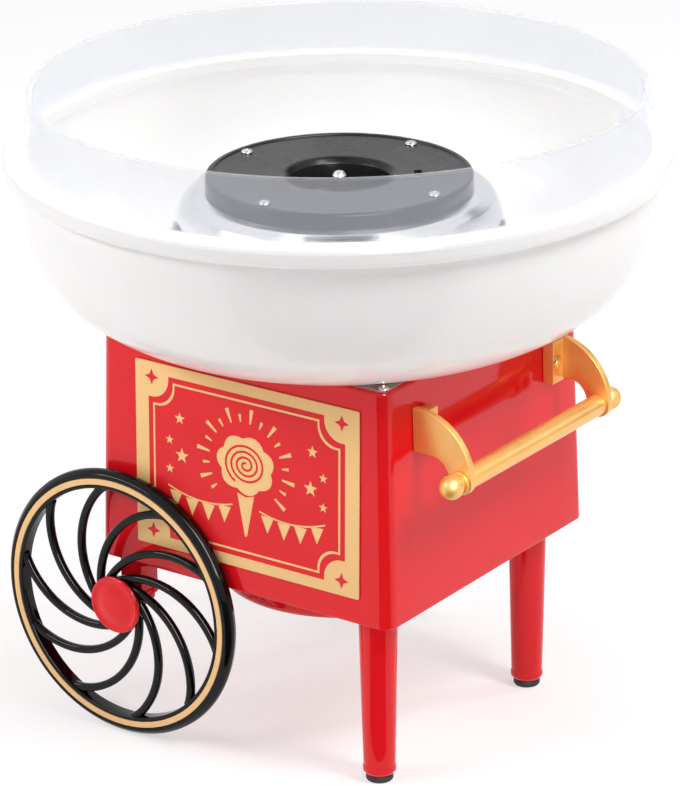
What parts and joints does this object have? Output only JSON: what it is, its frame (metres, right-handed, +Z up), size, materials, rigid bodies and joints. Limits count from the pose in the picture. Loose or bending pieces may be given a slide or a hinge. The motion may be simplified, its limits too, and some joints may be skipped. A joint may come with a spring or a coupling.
{
  "type": "cotton candy machine",
  "caption": "Tabletop cotton candy machine shaped like a cart: boxy housing on legs and spoked wheels, bar handle, wide round bowl with clear splash guard, spinning sugar head.",
  "frame": {"origin": "on the table, under the bowl's axis", "axes": "+Z up along the bowl's axis, +X toward the handle, -Y toward the label panel, wheels at the -X end"},
  "size_m": [0.2842, 0.285, 0.285],
  "materials": {
    "red_plastic": "high gloss",
    "white_plastic": "gloss",
    "clear_plastic": "clear, slightly milky",
    "black_plastic": "gloss",
    "gold_paint": "satin gold",
    "gold_inlay": "satin pale gold",
    "label_print": "satin print",
    "plate_steel": "plain sheet",
    "pressed_aluminium": "polished",
    "bright_steel": "bright",
    "brass": "turned",
    "ceramic": "matt ceramic",
    "rubber": "matt"
  },
  "bodies": {
    "base": {"housing_shell": "red_plastic", "top_plate": "plate_steel", "plate_screw_1": "bright_steel", "plate_screw_2": "bright_steel", "plate_screw_3": "bright_steel", "plate_screw_4": "bright_steel", "bottom_cover": "red_plastic", "leg_front": "red_plastic", "leg_back": "red_plastic", "foot_front": "rubber", "foot_back": "rubber", "axle": "bright_steel", "axle_back": "bright_steel", "axle_bearing_front": "red_plastic", "axle_bearing_back": "red_plastic", "handle_bracket_front": "gold_paint", "handle_bracket_back": "gold_paint", "handle_ball_front": "gold_paint", "handle_ball_back": "gold_paint", "handle_screw_front": "bright_steel", "handle_screw_back": "bright_steel", "handle_bar": "gold_paint", "label_panel": "label_print", "heater_pan": "pressed_aluminium", "heating_element": "bright_steel", "element_post_1": "ceramic", "element_post_2": "ceramic", "element_post_3": "ceramic", "thermostat": "ceramic", "motor": "plate_steel", "motor_bracket": "plate_steel", "switch_frame": "black_plastic", "cord_bush": "black_plastic"},
    "spindle": {"motor_shaft": "bright_steel", "drive_pin": "bright_steel"},
    "head": {"head_cover": "black_plastic", "head_shell": "pressed_aluminium", "head_floor": "pressed_aluminium", "head_hub": "brass", "cover_screw_1": "bright_steel", "cover_screw_2": "bright_steel", "cover_screw_3": "bright_steel", "cover_screw_4": "bright_steel"},
    "bowl": {"bowl": "white_plastic"},
    "guard": {"splash_guard": "clear_plastic"},
    "front_wheel": {"wheel_front": "black_plastic", "wheel_inlay_front": "gold_inlay", "hub_cap_front": "red_plastic"},
    "back_wheel": {"wheel_back": "black_plastic", "wheel_inlay_back": "gold_inlay", "hub_cap_back": "red_plastic"},
    "rocker": {"rocker_switch": "red_plastic"}
  },
  "joints": [
    {"name": "shaft_spin", "type": "hinge", "parent": "base", "child": "spindle", "pos_m": [0, 0, 0.2], "axis": [0, 0, 1], "continuous": true},
    {"name": "head_lift", "type": "slide", "parent": "spindle", "child": "head", "axis": [0, 0, 1], "range_m": [0, 0.07]},
    {"name": "bowl_lift", "type": "slide", "parent": "base", "child": "bowl", "axis": [0, 0, 1], "range_m": [0, 0.1]},
    {"name": "guard_lift", "type": "slide", "parent": "bowl", "child": "guard", "axis": [0, 0, 1], "range_m": [0, 0.05]},
    {"name": "front_wheel_spin", "type": "hinge", "parent": "base", "child": "front_wheel", "pos_m": [-0.062, -0.08, 0.061], "axis": [0, 1, 0], "continuous": true},
    {"name": "back_wheel_spin", "type": "hinge", "parent": "base", "child": "back_wheel", "pos_m": [-0.062, 0.08, 0.061], "axis": [0, 1, 0], "continuous": true},
    {"name": "rocker_tilt", "type": "hinge", "parent": "base", "child": "rocker", "pos_m": [-0.07456, 0, 0.15], "axis": [0, 1, 0], "range_deg": [-14, 0]}
  ]
}
